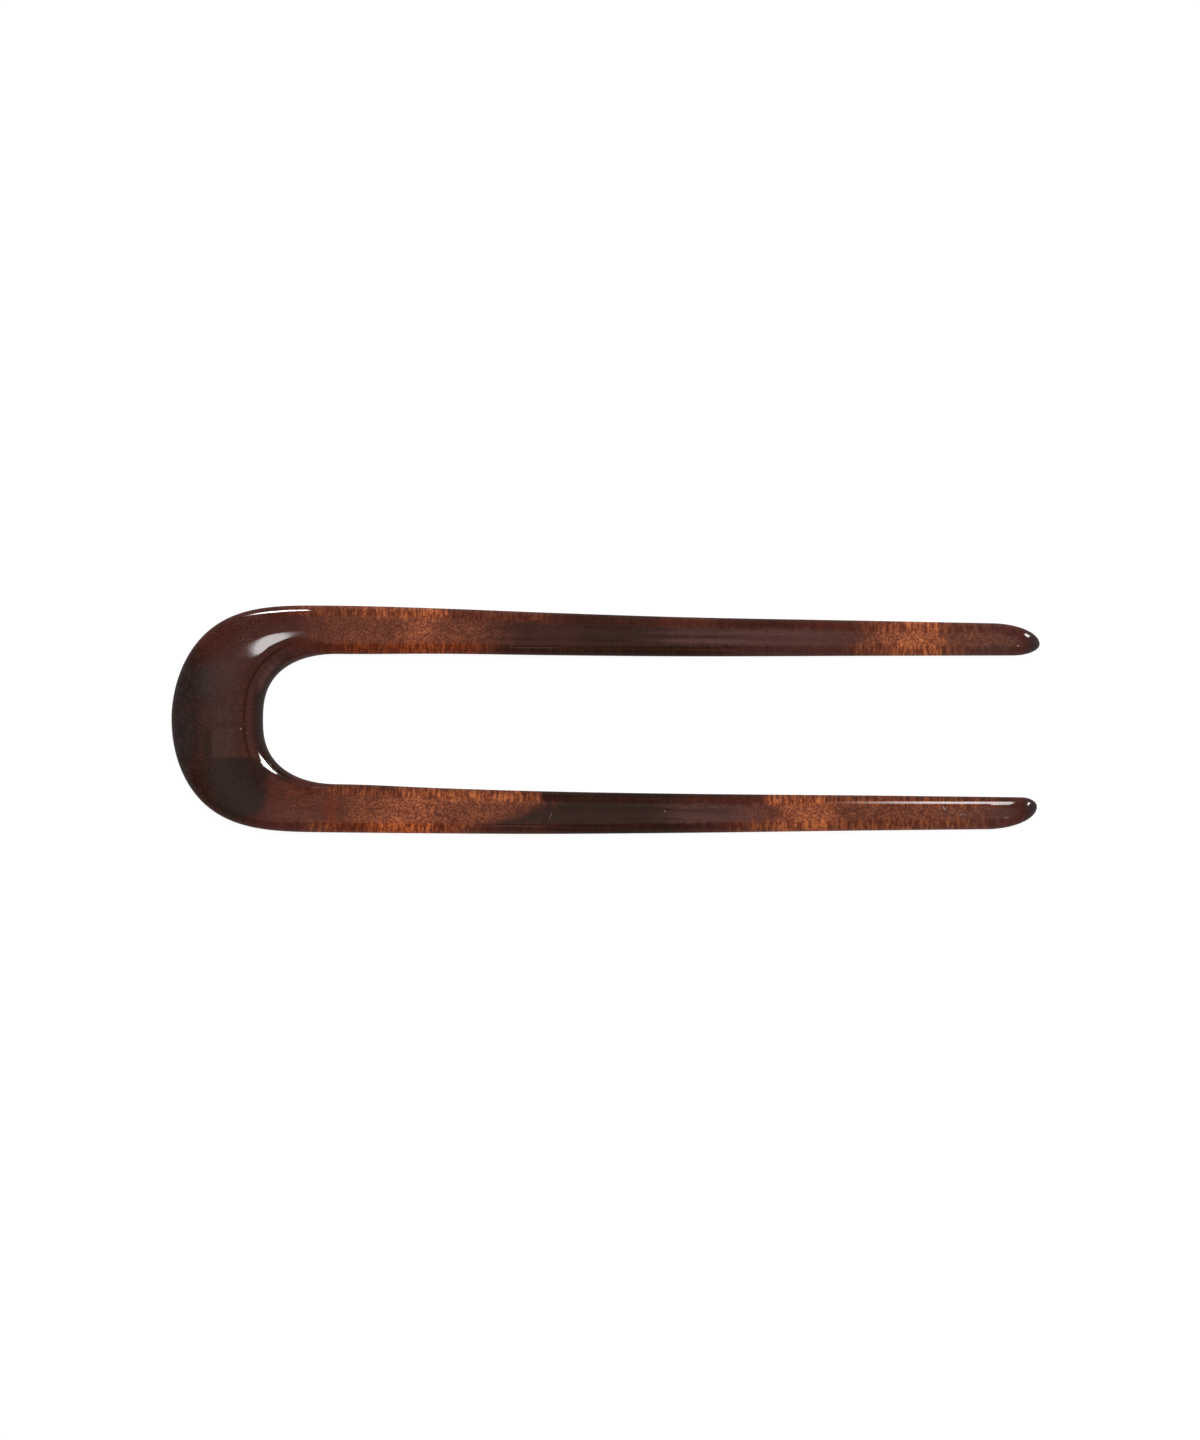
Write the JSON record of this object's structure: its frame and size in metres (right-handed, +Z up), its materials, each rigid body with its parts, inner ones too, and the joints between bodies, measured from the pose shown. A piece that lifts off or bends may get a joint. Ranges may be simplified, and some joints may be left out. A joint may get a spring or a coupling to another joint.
{
  "type": "two-prong u-shaped hairpin",
  "caption": "Flat U-shaped hairpin with a wide crown and two long tapering prongs, polished tortoiseshell plastic.",
  "frame": {"origin": "middle of the flat underside's box, on the surface that the pin lies on", "axes": "+X from the crown towards the tips, +Y across the prongs, +Z up out of the top face"},
  "size_m": [0.13, 0.034, 0.0045],
  "materials": {
    "tortoiseshell": "polished cellulose acetate, mottled dark brown, red brown and amber"
  },
  "bodies": {
    "root": {"hairpin": "tortoiseshell"}
  },
  "joints": []
}
